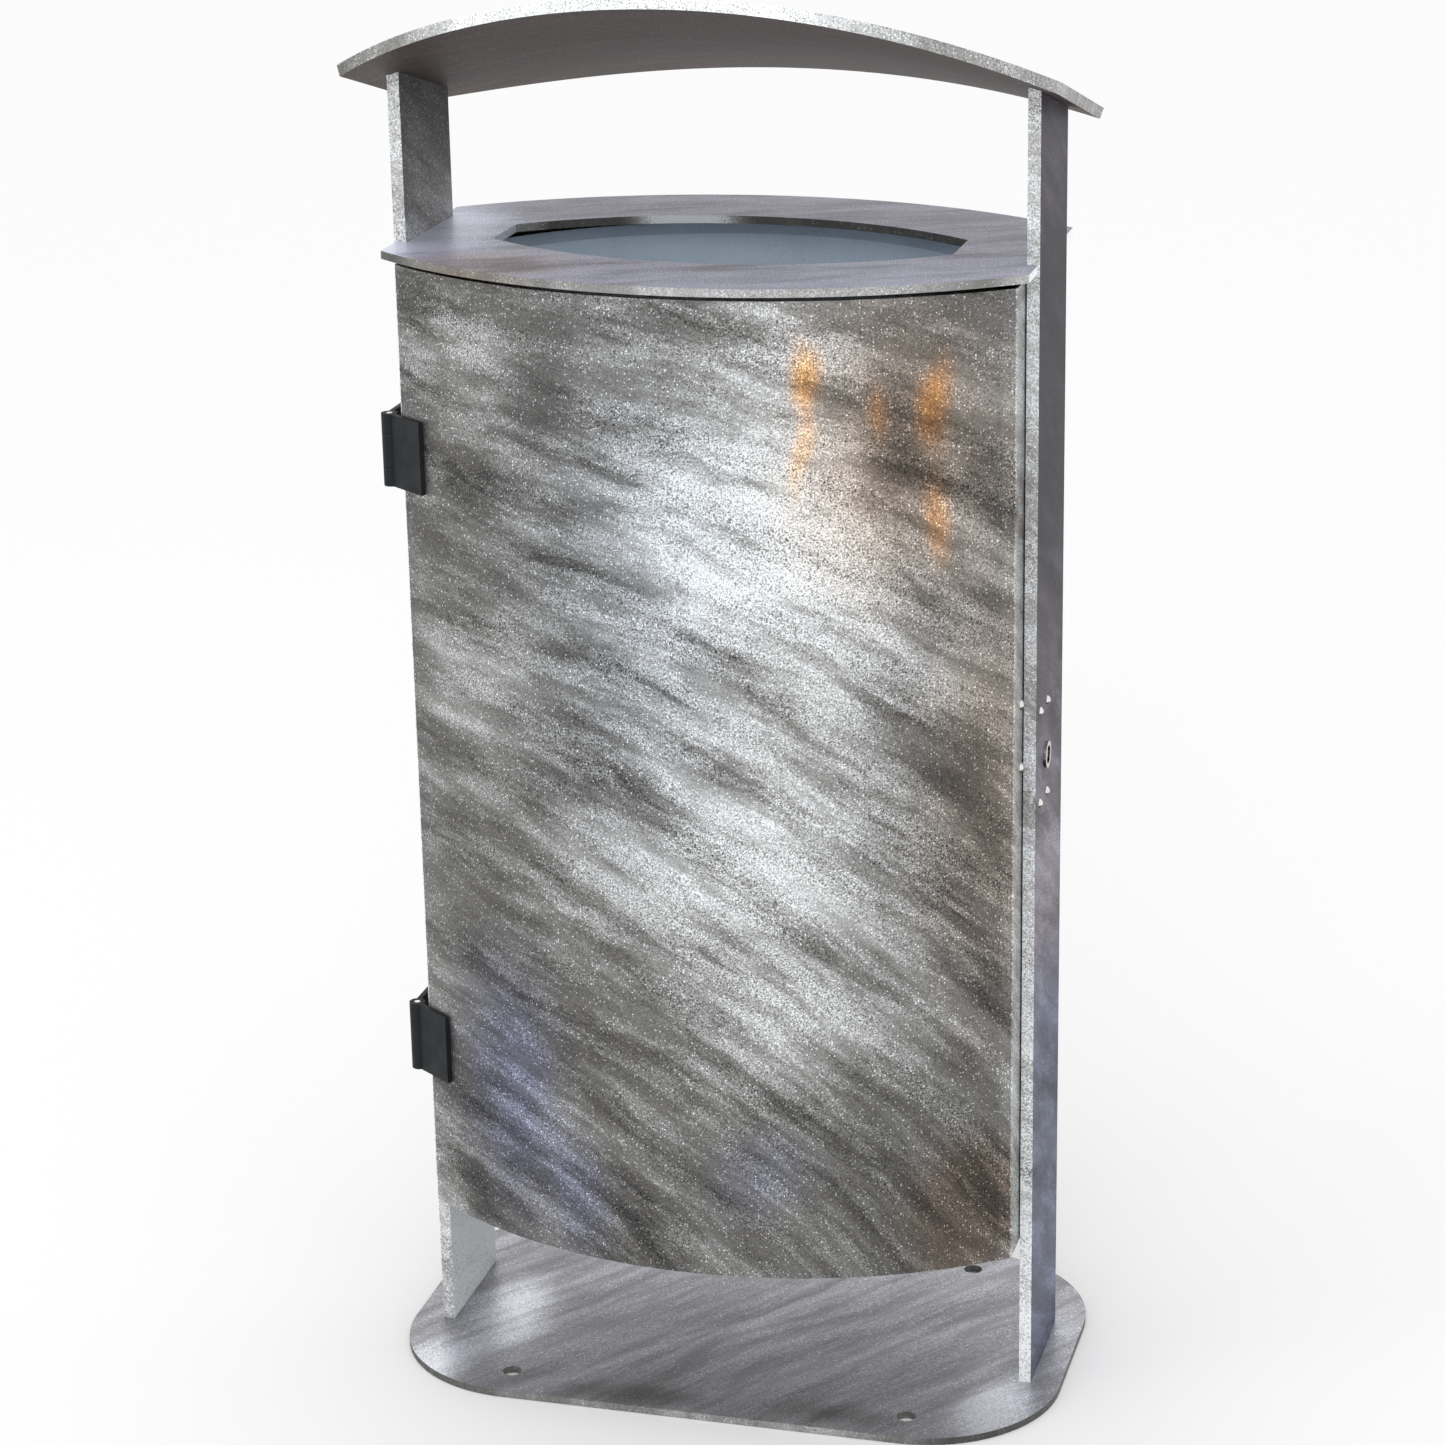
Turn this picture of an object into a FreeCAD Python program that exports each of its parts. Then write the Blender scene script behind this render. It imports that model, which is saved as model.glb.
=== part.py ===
import FreeCAD, Part
import Sketcher
import math
import os

# Outdoor litter bin: two flat-bar uprights on an anchored base plate carry a top plate with the
# deposit opening, an arched roof, a fixed rear panel and a hinged, lockable curved door.
# Frame: +Z up, the door faces -Y, the origin is the centre of the base plate's underside.

doc = FreeCAD.newDocument("litter_bin")

# Driving dimensions in millimetres and degrees.
DIMENSIONS = {
    # Base plate and its ground anchors
    "base_end_margin": 25.0,         # base beyond each upright's outer face
    "base_width": 346.0,
    "base_corner_radius": 115.0,
    "base_thickness": 6.0,
    "anchor_inset_x": 114.5,         # hole centre to the base's end
    "anchor_inset_y": 35.0,          # hole centre to the base's long edge
    "anchor_hole_diameter": 16.0,
    # Uprights
    "frame_width": 524.0,            # over the uprights' outer faces
    "upright_depth": 115.0,
    "upright_thickness": 10.0,
    "tenon_depth": 60.0,             # foot of the upright that enters the base slot
    "tenon_recess": 1.0,             # room for the weld under the base
    "weld_gap": 0.25,                # play between welded plates
    # Top plate and deposit opening
    "plate_top_height": 964.0,
    "plate_thickness": 6.5,
    "plate_end_inset": 1.5,          # plate end behind the upright's outer face
    "plate_end_width": 186.0,
    "plate_lip": 10.0,               # plate beyond the door's apex
    "opening_end_margin": 72.5,
    "opening_side_margin": 91.5,
    "opening_end_width": 58.0,
    # Roof
    "roof_rise": 157.4,              # top plate to the underside of the arch's crown
    "roof_arch_radius": 921.0,
    "roof_tilt": 14.8,
    "roof_end_overhang": 21.0,       # measured at the arch's underside
    "roof_end_width": 194.0,
    "roof_width": 396.0,
    "roof_thickness": 9.0,
    # Door and rear panel
    "body_depth": 354.0,             # over the crowns of the door and the rear panel
    "body_end_depth": 180.0,         # over the corners where the skins fold back
    "skin_thickness": 2.5,
    "bend_radius": 3.0,
    "door_side_gap": 1.0,
    "door_top_gap": 5.0,
    "door_bottom_height": 138.0,
    "flange_overlap": 5.5,           # return flange past the upright's front face
    "rear_flange_overlap": 25.0,
    "rib_width": 22.0,
    "rib_thickness": 3.0,
    "rib_inset": 3.0,                # rib to the skin's top or bottom edge
    "rib_end_setback": 10.0,
    # Liner shelf
    "shelf_height": 150.0,
    "shelf_thickness": 3.0,
    "shelf_end_setback": 22.0,
    "shelf_side_clearance": 24.0,
    "shelf_end_width": 100.0,
    "shelf_tab_width": 60.0,
    "drain_hole_diameter": 14.0,
    "drain_hole_spacing": 80.0,
    # Liner
    "liner_end_clearance": 47.0,
    "liner_side_clearance": 29.0,
    "liner_end_width": 90.0,
    "liner_wall": 1.5,
    "liner_seat_gap": 0.3,
    "liner_top_clearance": 8.5,
    "liner_band_height": 89.0,       # upper ring of the wall, with the hand holes
    "liner_rim_height": 9.0,
    "liner_rim_thickness": 2.0,
    "liner_joint_gap": 0.1,
    "hand_hole_length": 110.0,
    "hand_hole_height": 32.0,
    "hand_hole_drop": 60.0,          # rim to the hand hole's centre
    # Hinges
    "hinge_height": 60.0,
    "hinge_radius": 6.75,
    "hinge_axis_out": 12.5,          # pin axis beyond the door's end
    "hinge_axis_back": 7.0,          # pin axis behind the door's corner
    "hinge_leaf_length": 45.0,
    "hinge_leaf_thickness": 4.0,
    "hinge_centre_knuckle": 28.0,
    "hinge_knuckle_gap": 0.3,
    "hinge_swing_gap": 0.5,
    "hinge_seat_gap": 0.5,
    "hinge_pin_diameter": 5.0,
    "hinge_pin_clearance": 0.05,
    "hinge_stud_diameter": 5.0,
    "hinge_stud_inset": 2.5,         # stud's grip in the leaf
    "hinge_stud_margin": 7.0,        # stud to the leaf's free edge
    "hinge_stud_spacing": 36.0,
    "hinge_stud_reach": 7.0,         # stud past the inner face
    "hinge_nut_flats": 8.0,
    "hinge_nut_height": 4.0,
    "hinge_nut_clearance": 2.4,      # frame nuts to the shut door's flange
    "hinge_low_margin": 149.0,       # door's bottom edge to the lower hinge's centre
    "hinge_high_margin": 152.5,      # door's top edge to the upper hinge's centre
    "hole_play": 0.2,                # fastener holes larger in diameter
    # Lock
    "lock_height": 554.0,
    "lock_setback": 42.9,            # lock axis behind the upright's front face
    "lock_collar_diameter": 22.0,
    "lock_collar_height": 2.5,
    "lock_barrel_diameter": 18.0,
    "lock_barrel_reach": 11.0,       # barrel past the upright's inner face
    "lock_recess_diameter": 15.0,
    "lock_recess_depth": 8.0,
    "lock_shoulder_play": 0.5,
    "lock_shoulder_thickness": 2.0,
    "lock_plug_diameter": 11.0,
    "lock_plug_clearance": 0.08,
    "lock_neck_diameter": 8.0,
    "lock_nut_diameter": 27.0,
    "lock_nut_height": 5.0,
    "key_triangle": 8.0,             # height of the triangular key stub
    "key_setback": 1.25,             # stub's end behind the collar's face
    "cam_thickness": 3.5,
    "cam_width": 12.0,
    "cam_hub_diameter": 18.0,
    "cam_reach": 38.0,
    "cam_clearance": 5.5,            # barrel's end to the cam
    "cam_screw_flats": 12.0,
    "cam_screw_height": 4.0,
    "case_length": 30.75,            # case depth off the upright
    "case_back": 2.0,
    "case_wall": 1.5,
    "case_front_setback": 11.5,
    "case_depth": 51.5,
    "case_height": 96.5,
    "case_drop": 43.0,               # lock axis to the case's underside
    "lock_rivet_diameter": 4.0,
    "lock_rivet_head": 8.0,
    "lock_rivet_setback": 18.5,      # front rivets behind the upright's front face
    "lock_rivet_pitch_y": 30.5,
    "lock_rivet_pitch_z": 78.0,
    "lock_rivet_drop": 34.0,         # lock axis to the lower rivets
    # Strike on the door
    "strike_thickness": 3.0,
    "strike_plate_height": 73.0,
    "strike_plate_drop": 6.0,        # strike plate's lower edge below the lock axis
    "strike_plate_depth": 23.0,
    "strike_step": 5.5,              # tongue inboard of the strike plate
    "tongue_height": 20.0,
    "tongue_lift": 17.0,             # tongue's lower edge above the lock axis
    "lug_length": 14.0,
    "lug_gap": 1.6,                  # locked cam to the lug
    "strike_rivet_diameter": 4.8,
    "strike_rivet_head": 9.5,
    "strike_rivet_pitch": 53.0,
    "strike_rivet_margin": 5.7,      # strike rivets ahead of the upright's front face
    "rivet_head_height": 2.6,
    "rivet_tail_height": 4.0,
    "rivet_tail_ratio": 1.5,         # tail's diameter over the shank's
    # Door stops on the lock-side upright
    "stop_depth": 18.0,
    "stop_height": 30.0,
    "stop_thickness": 3.0,
    "stop_low_height": 300.0,
    "stop_high_margin": 130.0,       # door's top edge to the upper stop's centre
    "buffer_length": 8.0,
    "buffer_thickness": 5.7,
    "buffer_gap": 0.3,
}

# Dimensions worked out from the driving ones. One row for each value; "dims" is the sheet above.
WORKED_OUT = {
    "frame_half": "=dims.frame_width / 2",
    "inner_half": "=dims.frame_width / 2 - dims.upright_thickness",
    "upright_front": "=dims.upright_depth / 2",
    "base_half_length": "=dims.frame_width / 2 + dims.base_end_margin",
    "anchor_x": "=base_half_length - dims.anchor_inset_x",
    "anchor_y": "=dims.base_width / 2 - dims.anchor_inset_y",
    "plate_half": "=frame_half - dims.plate_end_inset",
    "plate_end": "=dims.plate_end_width / 2",
    "plate_bottom": "=dims.plate_top_height - dims.plate_thickness",
    "body_apex": "=dims.body_depth / 2",
    "body_end": "=dims.body_end_depth / 2",
    "plate_apex": "=body_apex + dims.plate_lip",
    "opening_half": "=plate_half - dims.opening_end_margin",
    "opening_end": "=dims.opening_end_width / 2",
    "opening_apex": "=plate_apex - dims.opening_side_margin",
    "roof_crown": "=dims.plate_top_height + dims.roof_rise",
    "roof_half": "=frame_half + dims.roof_end_overhang",
    "roof_end": "=dims.roof_end_width / 2",
    "roof_apex": "=dims.roof_width / 2",
    "roof_drop": "=dims.roof_arch_radius - sqrt(dims.roof_arch_radius ^ 2 - roof_half ^ 2)",
    "roof_low": "=-2 * roof_drop",
    "roof_high": "=2 * roof_drop + dims.roof_thickness",
    "roof_end_slope": "=roof_half / (dims.roof_arch_radius - roof_drop)",
    "roof_low_half": "=roof_end_slope * (dims.roof_arch_radius + roof_low)",
    "roof_high_half": "=roof_end_slope * (dims.roof_arch_radius + roof_high)",
    "door_half": "=inner_half - dims.door_side_gap",
    "door_top": "=plate_bottom - dims.door_top_gap",
    "door_height": "=door_top - dims.door_bottom_height",
    "door_arc_radius": "=(door_half ^ 2 + (body_apex - body_end) ^ 2) / (2 * (body_apex - body_end))",
    "door_slope": "=asin(door_half / door_arc_radius)",
    "door_flange_back": "=upright_front - dims.flange_overlap",
    "rear_half": "=inner_half - dims.weld_gap",
    "rear_flange_front": "=upright_front - dims.rear_flange_overlap",
    "rear_height": "=plate_bottom - dims.weld_gap - dims.door_bottom_height",
    "rib_offset": "=dims.skin_thickness + dims.liner_joint_gap",
    "rib_back": "=body_end - dims.rib_end_setback",
    "shelf_half": "=inner_half - dims.shelf_end_setback",
    "shelf_apex": "=body_apex - dims.shelf_side_clearance",
    "shelf_end": "=dims.shelf_end_width / 2",
    "shelf_top": "=dims.shelf_height + dims.shelf_thickness",
    "liner_bottom": "=shelf_top + dims.liner_seat_gap",
    "liner_top": "=plate_bottom - dims.liner_top_clearance",
    "band_foot": "=liner_top - dims.liner_band_height",
    "shell_height": "=band_foot - dims.liner_joint_gap - liner_bottom",
    "liner_half": "=inner_half - dims.liner_end_clearance",
    "liner_apex": "=body_apex - dims.liner_side_clearance",
    "liner_end": "=dims.liner_end_width / 2",
    "liner_bottom_offset": "=dims.liner_wall + dims.liner_joint_gap",
    "rim_bore_offset": "=liner_bottom_offset + dims.liner_rim_thickness",
    "hinge_axis_x": "=-door_half - dims.hinge_axis_out",
    "hinge_axis_y": "=-body_end + dims.hinge_axis_back",
    "hinge_low_z": "=dims.door_bottom_height + dims.hinge_low_margin",
    "hinge_high_z": "=door_top - dims.hinge_high_margin",
    "hinge_face": "=-frame_half - hinge_axis_x",
    "leaf_grip": "=dims.hinge_leaf_length - dims.hinge_axis_out",
    "leaf_slope": "=door_slope - asin(leaf_grip / (2 * door_arc_radius))",
    "hinge_rise": "=dims.hinge_axis_out * sin(leaf_slope)",
    "leaf_back": "=hinge_rise - dims.hinge_axis_back * cos(leaf_slope) - dims.hinge_seat_gap",
    "door_stud_along": "=dims.hinge_leaf_length - dims.hinge_stud_margin",
    "nut_radius": "=dims.hinge_nut_flats / sqrt(3)",
    "frame_stud_along": "=-hinge_axis_y - door_flange_back + nut_radius + dims.hinge_nut_clearance",
    "frame_leaf_length": "=frame_stud_along + dims.hinge_stud_margin",
    "hinge_stud_bore": "=dims.hinge_stud_diameter + dims.hole_play",
    "lock_y": "=-upright_front + dims.lock_setback",
    "barrel_end": "=inner_half - dims.lock_barrel_reach",
    "cam_outer": "=barrel_end - dims.cam_clearance",
    "cam_inner": "=cam_outer - dims.cam_thickness",
    "case_inner": "=inner_half - dims.case_length",
    "case_front": "=-upright_front + dims.case_front_setback",
    "case_bottom": "=dims.lock_height - dims.case_drop",
    "rivet_front_y": "=-upright_front + dims.lock_rivet_setback",
    "rivet_low_z": "=dims.lock_height - dims.lock_rivet_drop",
    "flange_inner": "=door_half - dims.skin_thickness",
    "strike_inner": "=flange_inner - dims.strike_thickness",
    "tongue_outer": "=flange_inner - dims.strike_step",
    "tongue_inner": "=tongue_outer - dims.strike_thickness",
    "strike_front": "=-door_flange_back - dims.strike_plate_depth",
    "strike_low_z": "=dims.lock_height - dims.strike_plate_drop",
    "tongue_low_z": "=dims.lock_height + dims.tongue_lift",
    "lug_front": "=lock_y + dims.cam_width / 2 + dims.lug_gap",
    "strike_rivet_y": "=-upright_front - dims.strike_rivet_margin",
    "strike_rivet_z": "=strike_low_z + (dims.strike_plate_height - dims.strike_rivet_pitch) / 2",
    "buffer_front": "=-door_flange_back + dims.buffer_gap",
    "stop_front": "=buffer_front + dims.buffer_thickness",
    "stop_high_z": "=door_top - dims.stop_high_margin",
}

dims = doc.addObject("Spreadsheet::Sheet", "dims")
for row, (alias, number) in enumerate(DIMENSIONS.items(), start=1):
    dims.set(f"A{row}", alias)
    dims.set(f"B{row}", str(number))
    dims.setAlias(f"B{row}", alias)
derived = doc.addObject("Spreadsheet::Sheet", "derived")
for row, (alias, formula) in enumerate(WORKED_OUT.items(), start=1):
    derived.set(f"A{row}", alias)
    derived.setAlias(f"B{row}", alias)
    derived.set(f"B{row}", formula)
doc.recompute()

sub_parts = []


def cell(alias):
    """The expression that names a cell of either sheet; a leading minus is kept."""
    sign = "-" if alias.startswith("-") else ""
    name = alias.lstrip("-")
    return sign + ("dims." if name in DIMENSIONS else "derived.") + name


def number(alias):
    """A cell's present value as a plain number."""
    name = alias.lstrip("-")
    found = (dims if name in DIMENSIONS else derived).get(name)
    found = float(getattr(found, "Value", found))
    return -found if alias.startswith("-") else found


def bind(thing, **expressions):
    """Ties properties to expressions; Base_x stands for Placement.Base.x, and so on."""
    for name, expression in expressions.items():
        if name.startswith("Base_"):
            name = "Placement.Base." + name[-1]
        if expression != "0":
            thing.setExpression(name, expression)


def finish(thing, label):
    """Registers an object as a sub-part under its label."""
    thing.Label = label
    sub_parts.append(thing)
    return thing


# ---- sketches and features -----------------------------------------------------------------

def new_body(name):
    return doc.addObject("PartDesign::Body", name)


def new_sketch(body, name, role="XY_Plane", x="0", y="0", z="0"):
    """A sketch on one of the body's origin planes, shifted within that plane's own axes."""
    sketch = body.newObject("Sketcher::SketchObject", body.Name + "_" + name)
    plane = [item for item in body.Origin.OriginFeatures if item.Role == role][0]
    sketch.AttachmentSupport = [(plane, "")]
    sketch.MapMode = "FlatFace"
    for axis, expression in (("x", x), ("y", y), ("z", z)):
        if expression != "0":
            sketch.setExpression("AttachmentOffset.Base." + axis, expression)
    return sketch


def size(sketch, name, kind, places, start, expression):
    """A dimensional constraint tied to an expression."""
    index = sketch.addConstraint(Sketcher.Constraint(kind, *places, start))
    sketch.renameConstraint(index, name)
    sketch.setExpression("Constraints." + name, expression)


def draw_lens(sketch, half, end, apex, offset="0"):
    """Two arcs joined by two straight ends; offset moves the outline inwards evenly."""
    shift = 0.0 if offset == "0" else number(offset)
    inward = "0" if offset == "0" else f"({cell(offset)})"
    outer_rise = number(apex) - number(end)
    outer_radius = (number(half) ** 2 + outer_rise ** 2) / (2 * outer_rise)
    radius = outer_radius - shift
    half_now = number(half) - shift
    apex_now = number(apex) - shift
    angle = math.asin(half_now / radius)
    end_now = apex_now - radius + math.sqrt(radius ** 2 - half_now ** 2)
    up = FreeCAD.Vector(0, 0, 1)
    front = Part.Circle(FreeCAD.Vector(0, radius - apex_now, 0), up, radius)
    back = Part.Circle(FreeCAD.Vector(0, apex_now - radius, 0), up, radius)
    corners = [FreeCAD.Vector(half_now, -end_now, 0), FreeCAD.Vector(half_now, end_now, 0),
               FreeCAD.Vector(-half_now, end_now, 0), FreeCAD.Vector(-half_now, -end_now, 0)]
    sketch.addGeometry(Part.ArcOfCircle(front, 1.5 * math.pi - angle, 1.5 * math.pi + angle))
    sketch.addGeometry(Part.LineSegment(corners[0], corners[1]))
    sketch.addGeometry(Part.ArcOfCircle(back, 0.5 * math.pi - angle, 0.5 * math.pi + angle))
    sketch.addGeometry(Part.LineSegment(corners[2], corners[3]))
    for edge in range(4):
        sketch.addConstraint(Sketcher.Constraint("Coincident", edge, 2, (edge + 1) % 4, 1))
    sketch.addConstraint(Sketcher.Constraint("Symmetric", 0, 1, 0, 2, -2))
    sketch.addConstraint(Sketcher.Constraint("Symmetric", 0, 2, 2, 1, -1))
    sketch.addConstraint(Sketcher.Constraint("Symmetric", 0, 1, 2, 2, -1))
    sketch.addConstraint(Sketcher.Constraint("Equal", 0, 2))
    rise = f"({cell(apex)} - {cell(end)})"
    outer = f"({cell(half)} ^ 2 + {rise} ^ 2) / (2 * {rise})"
    arc = f"({outer} - {inward})"
    reach = f"({cell(half)} - {inward})"
    size(sketch, "half_length", "DistanceX", (-1, 1, 0, 2), half_now, reach)
    size(sketch, "arc_radius", "Radius", (0,), radius, arc)
    size(sketch, "end_half", "DistanceY", (0, 2, -1, 1), end_now,
         f"{cell(apex)} - {inward} - {arc} + sqrt({arc} ^ 2 - {reach} ^ 2)")
    return sketch


def draw_rectangle(sketch, length, width):
    """A rectangle centred on the sketch's origin."""
    half_x, half_y = 10.0, 5.0
    corners = [FreeCAD.Vector(-half_x, -half_y, 0), FreeCAD.Vector(half_x, -half_y, 0),
               FreeCAD.Vector(half_x, half_y, 0), FreeCAD.Vector(-half_x, half_y, 0)]
    for edge in range(4):
        sketch.addGeometry(Part.LineSegment(corners[edge], corners[(edge + 1) % 4]))
    for edge in range(4):
        sketch.addConstraint(Sketcher.Constraint("Coincident", edge, 2, (edge + 1) % 4, 1))
    for edge, kind in enumerate(("Horizontal", "Vertical", "Horizontal", "Vertical")):
        sketch.addConstraint(Sketcher.Constraint(kind, edge))
    sketch.addConstraint(Sketcher.Constraint("Symmetric", 0, 1, 1, 2, -1, 1))
    size(sketch, "length", "DistanceX", (0, 1, 0, 2), 2 * half_x, length)
    size(sketch, "width", "DistanceY", (1, 1, 1, 2), 2 * half_y, width)
    return sketch


def draw_circle(sketch, diameter):
    up = FreeCAD.Vector(0, 0, 1)
    sketch.addGeometry(Part.Circle(FreeCAD.Vector(0, 0, 0), up, 5.0))
    sketch.addConstraint(Sketcher.Constraint("Coincident", 0, 3, -1, 1))
    size(sketch, "diameter", "Diameter", (0,), 10.0, diameter)
    return sketch


def pad(body, sketch, length):
    feature = body.newObject("PartDesign::Pad", sketch.Name + "_pad")
    feature.Profile = sketch
    feature.setExpression("Length", length)
    return feature


def pocket(body, sketch, reverse=True):
    """Cuts through everything on the sketch's positive side; checks that metal goes away."""
    before = body.Tip
    doc.recompute()
    feature = body.newObject("PartDesign::Pocket", sketch.Name + "_cut")
    feature.Profile = sketch
    feature.Type = "ThroughAll"
    feature.Reversed = reverse
    doc.recompute()
    if not feature.Shape.Volume < before.Shape.Volume - 1.0:
        raise ValueError(feature.Name + " cuts nothing")
    return feature


def upright_edges(shape, x, y):
    """Names of the shape's vertical edges at (|x|, y)."""
    names = []
    for index, edge in enumerate(shape.Edges, start=1):
        middle = edge.CenterOfMass
        if len(edge.Vertexes) == 2:
            run = edge.Vertexes[1].Point - edge.Vertexes[0].Point
            level = math.hypot(run.x, run.y) < 0.001
            if level and abs(abs(middle.x) - x) < 0.01 and abs(middle.y - y) < 0.01:
                names.append(f"Edge{index}")
    return names


def round_edges(body, names, radius):
    base = body.Tip
    feature = body.newObject("PartDesign::Fillet", base.Name + "_round")
    feature.Base = (base, names)
    feature.setExpression("Radius", radius)
    doc.recompute()
    return feature


# ---- primitives and booleans -----------------------------------------------------------------

def block(name, x, y, z, length, width, height):
    """A box from its lowest corner; every argument is an expression."""
    thing = doc.addObject("Part::Box", name)
    bind(thing, Length=length, Width=width, Height=height, Base_x=x, Base_y=y, Base_z=z)
    return thing


def rod(name, radius, height, x="0", y="0", z="0", turn=None):
    """A cylinder from its foot; turn is an (axis, degrees) pair, by default along +Z."""
    thing = doc.addObject("Part::Cylinder", name)
    if turn:
        thing.Placement.Rotation = FreeCAD.Rotation(FreeCAD.Vector(*turn[0]), turn[1])
    bind(thing, Radius=radius, Height=height, Base_x=x, Base_y=y, Base_z=z)
    return thing


def hexagon(name, flats, height, x="0", y="0", z="0", turn=None):
    """A hexagonal prism across the given flats."""
    thing = doc.addObject("Part::Prism", name)
    thing.Polygon = 6
    if turn:
        thing.Placement.Rotation = FreeCAD.Rotation(FreeCAD.Vector(*turn[0]), turn[1])
    bind(thing, Circumradius=f"({flats}) / sqrt(3)", Height=height, Base_x=x, Base_y=y, Base_z=z)
    return thing


def dome(name, diameter, height, x="0", y="0", z="0", turn=None):
    """A spherical cap whose flat side lies at the given point."""
    thing = doc.addObject("Part::Sphere", name)
    ball = f"((({diameter}) / 2) ^ 2 + ({height}) ^ 2) / (2 * ({height}))"
    sink = f"({ball} - ({height}))"
    thing.setExpression("Radius", ball)
    thing.setExpression("Angle1", f"asin({sink} / ({ball}))")
    lift = {"x": x, "y": y, "z": z}
    along = "z"
    if turn:
        thing.Placement.Rotation = FreeCAD.Rotation(FreeCAD.Vector(*turn[0]), turn[1])
        along = "x"
    lift[along] = f"{lift[along]} - {sink}"
    bind(thing, Base_x=lift["x"], Base_y=lift["y"], Base_z=lift["z"])
    return thing


def fuse(name, *pieces):
    thing = doc.addObject("Part::MultiFuse", name)
    thing.Shapes = list(pieces)
    thing.Refine = True
    return thing


def cut(name, base, *tools):
    tool = tools[0] if len(tools) == 1 else fuse(name + "_tools", *tools)
    thing = doc.addObject("Part::Cut", name)
    thing.Base = base
    thing.Tool = tool
    thing.Refine = True
    return thing


def common(name, base, tool):
    thing = doc.addObject("Part::Common", name)
    thing.Base = base
    thing.Tool = tool
    thing.Refine = True
    return thing


def group(name, pieces):
    thing = doc.addObject("Part::Compound", name)
    thing.Links = pieces
    return thing


ALONG_X = ((0, 1, 0), 90)        # a +Z primitive laid along +X
ALONG_Y = ((1, 0, 0), -90)       # a +Z primitive laid along +Y


# ---- base plate ----------------------------------------------------------------------------------

def make_base_plate():
    body = new_body("base_plate")
    pad(body, draw_rectangle(new_sketch(body, "outline"), "2 * derived.base_half_length",
                             "dims.base_width"), "dims.base_thickness")
    doc.recompute()
    corners = upright_edges(body.Shape, number("base_half_length"), number("base_width") / 2)
    corners += upright_edges(body.Shape, number("base_half_length"), -number("base_width") / 2)
    round_edges(body, corners, "dims.base_corner_radius")
    for side, mark in (("left", "-"), ("right", "")):
        centre = f"{mark}(derived.frame_half - dims.upright_thickness / 2)"
        slot = new_sketch(body, "slot_" + side, x=centre)
        draw_rectangle(slot, "dims.upright_thickness + 2 * dims.weld_gap",
                       "dims.tenon_depth + 2 * dims.weld_gap")
        pocket(body, slot)
        for end, sign in (("front", "-"), ("back", "")):
            hole = new_sketch(body, f"anchor_{end}_{side}", x=mark + "derived.anchor_x",
                              y=sign + "derived.anchor_y")
            pocket(body, draw_circle(hole, "dims.anchor_hole_diameter"))
    return finish(body, "base_plate")


# ---- roof and uprights --------------------------------------------------------------------------

def tilt_with_roof(thing):
    """Sets a piece that is drawn about the arch's crown into its place under the roof's tilt."""
    thing.Placement.Rotation = FreeCAD.Rotation(FreeCAD.Vector(-1, 0, 0), 10)
    thing.setExpression("Placement.Rotation.Angle", "dims.roof_tilt")
    bind(thing, Base_z="derived.roof_crown")


def arch_cylinder(name, radius):
    """A cylinder along Y whose top line is at the given radius over the arch's centre."""
    return rod(name, radius, "4 * derived.roof_apex", y="-2 * derived.roof_apex",
               z="-dims.roof_arch_radius", turn=ALONG_Y)


def make_roof_plate():
    """An arched plate whose lens outline is cut square to the sheet, so its ends lean outwards."""
    plan = new_body("roof_plan")
    low = new_sketch(plan, "low_outline", z="derived.roof_low")
    draw_lens(low, "roof_low_half", "roof_end", "roof_apex")
    high = new_sketch(plan, "high_outline", z="derived.roof_high")
    draw_lens(high, "roof_high_half", "roof_end", "roof_apex")
    loft = plan.newObject("PartDesign::AdditiveLoft", "roof_plan_loft")
    loft.Profile = low
    loft.Sections = [high]
    loft.Ruled = True
    outer = arch_cylinder("roof_outer", "dims.roof_arch_radius + dims.roof_thickness")
    inner = arch_cylinder("roof_inner", "dims.roof_arch_radius")
    plate = common("roof_plate", cut("roof_arch", outer, inner), plan)
    tilt_with_roof(plate)
    return finish(plate, "roof_plate")


def make_upright(side, holes):
    """A flat bar with a foot tenon; its head follows the underside of the roof."""
    inner = "derived.inner_half" if side == "right" else "-derived.frame_half"
    bar = block(f"{side}_bar", inner, "-derived.upright_front", "dims.base_thickness",
                "dims.upright_thickness", "dims.upright_depth",
                "derived.roof_crown + derived.roof_drop")
    under = rod(f"{side}_under_roof", "dims.roof_arch_radius - dims.weld_gap",
                "4 * derived.roof_apex")
    under_roof = group(f"{side}_head_tool", [under])
    under.Placement.Rotation = FreeCAD.Rotation(FreeCAD.Vector(*ALONG_Y[0]), ALONG_Y[1])
    bind(under, Base_y="-2 * derived.roof_apex", Base_z="-dims.roof_arch_radius")
    tilt_with_roof(under_roof)
    headed = common(f"{side}_headed", bar, under_roof)
    tenon = block(f"{side}_tenon", inner, "-dims.tenon_depth / 2", "dims.tenon_recess",
                  "dims.upright_thickness", "dims.tenon_depth", "dims.base_thickness")
    whole = fuse(f"{side}_whole", headed, tenon)
    return finish(cut(f"upright_{side}", whole, *holes), f"upright_{side}")


# ---- top plate ---------------------------------------------------------------------------------

def make_top_plate():
    body = new_body("top_plate")
    bind(body, Base_z="derived.plate_bottom")
    pad(body, draw_lens(new_sketch(body, "outline"), "plate_half", "plate_end", "plate_apex"),
        "dims.plate_thickness")
    pocket(body, draw_lens(new_sketch(body, "opening"), "opening_half", "opening_end",
                           "opening_apex"))
    for side, mark in (("left", "-"), ("right", "")):
        notch = new_sketch(body, "notch_" + side, x=f"{mark}derived.frame_half")
        draw_rectangle(notch, "2 * (dims.upright_thickness + dims.weld_gap)",
                       "dims.upright_depth + 2 * dims.weld_gap")
        pocket(body, notch)
    return finish(body, "top_plate")


# ---- curved skins and ribs -------------------------------------------------------------------

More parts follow.
